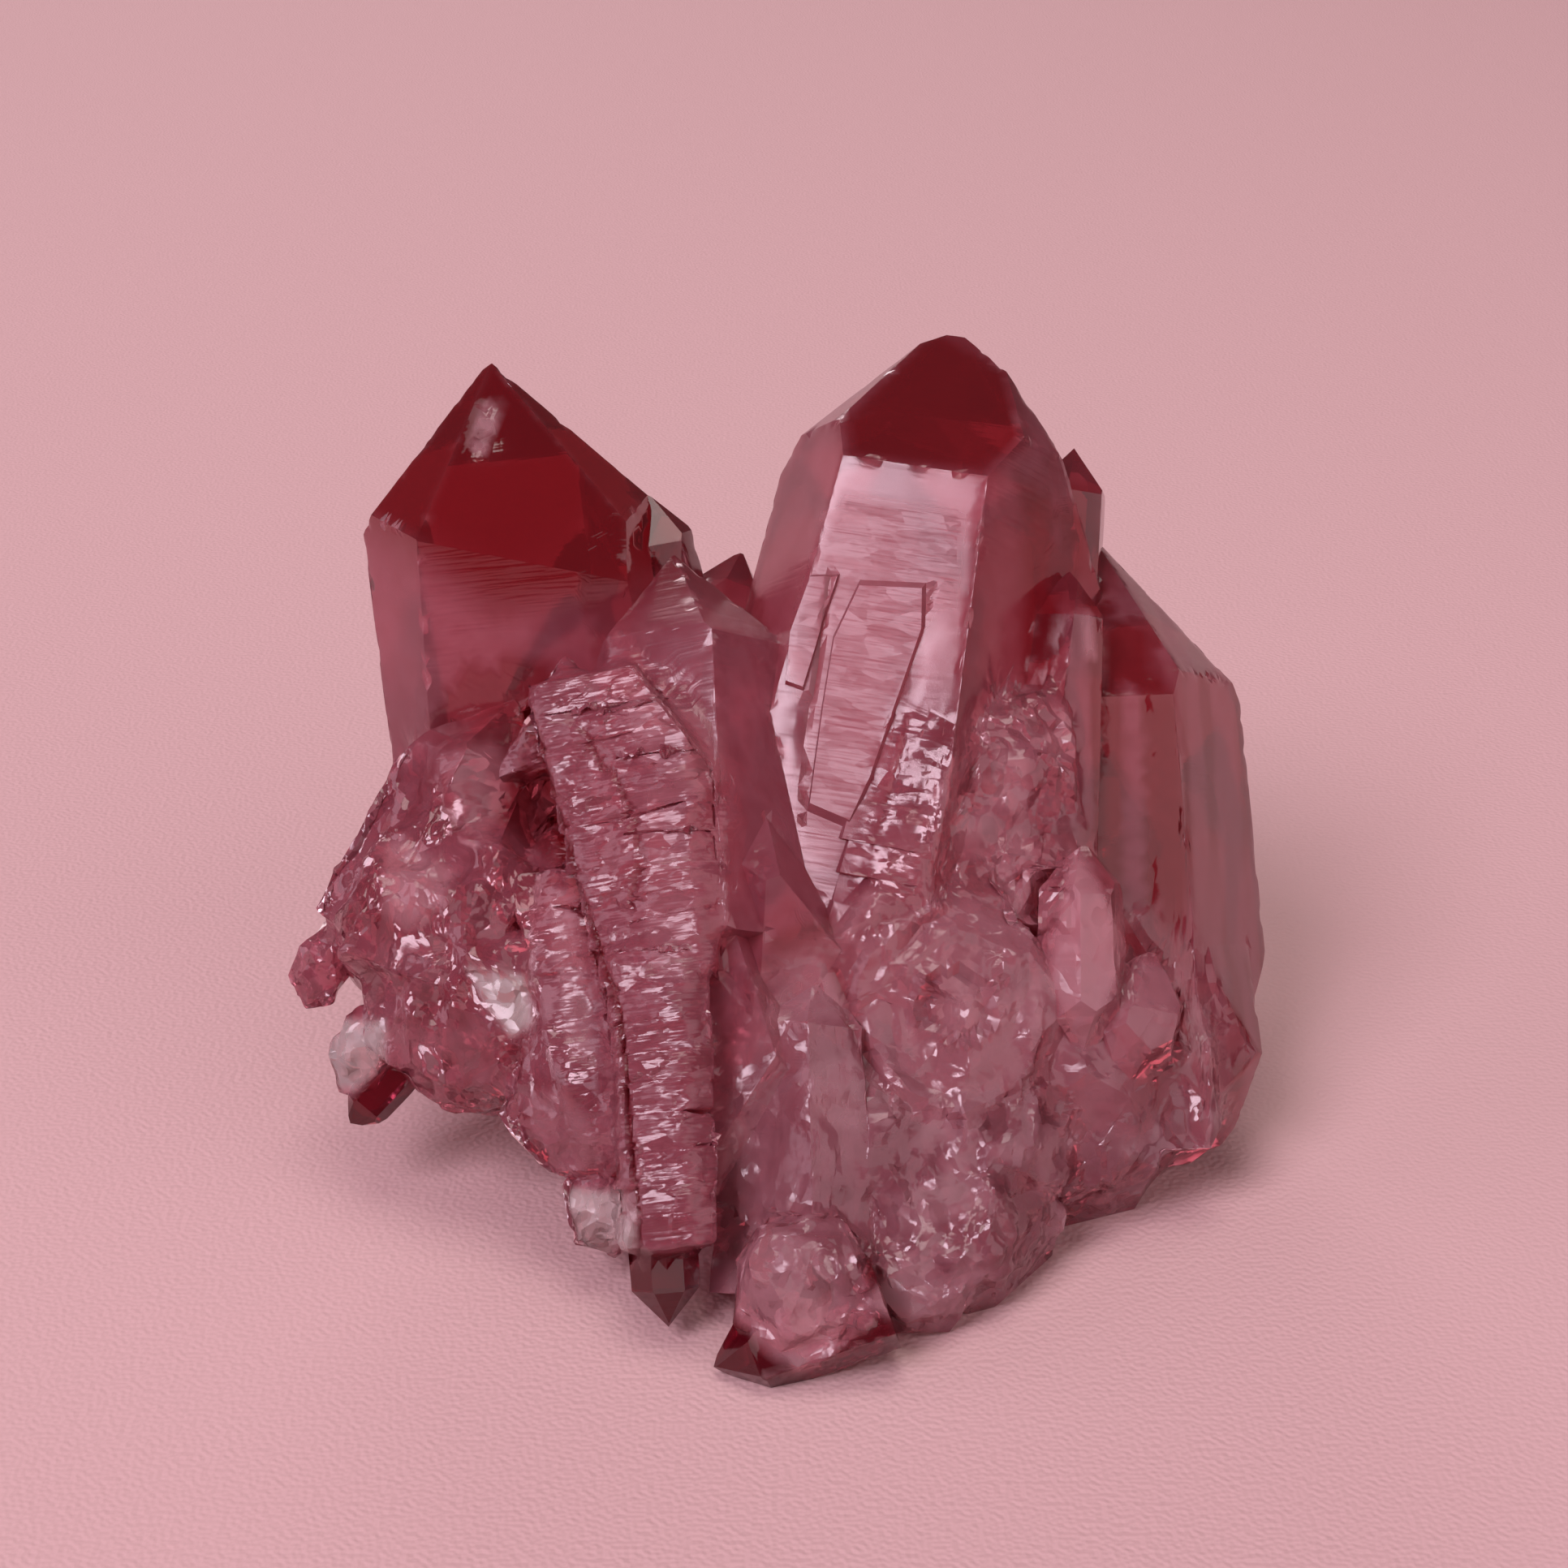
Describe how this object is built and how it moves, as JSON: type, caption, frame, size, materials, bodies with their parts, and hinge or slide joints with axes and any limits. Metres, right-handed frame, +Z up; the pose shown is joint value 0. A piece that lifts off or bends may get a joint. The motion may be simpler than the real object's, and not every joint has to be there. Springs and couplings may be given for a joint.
{
  "type": "quartz crystal cluster",
  "caption": "Cluster of red-stained Lemurian quartz points with stepped blades, frosted crystals and a broken base, cut flat to stand on a table.",
  "frame": {"origin": "middle of the bounding box's base, on the surface the cluster stands on", "axes": "+Z up, +X to the viewer's right, -Y towards the viewer who sees the stepped blades"},
  "size_m": [0.0524, 0.0458, 0.0401],
  "materials": {
    "quartz": "natural crystal faces, partly milky and rough"
  },
  "bodies": {
    "root": {"quartz_cluster": "quartz"}
  },
  "joints": []
}
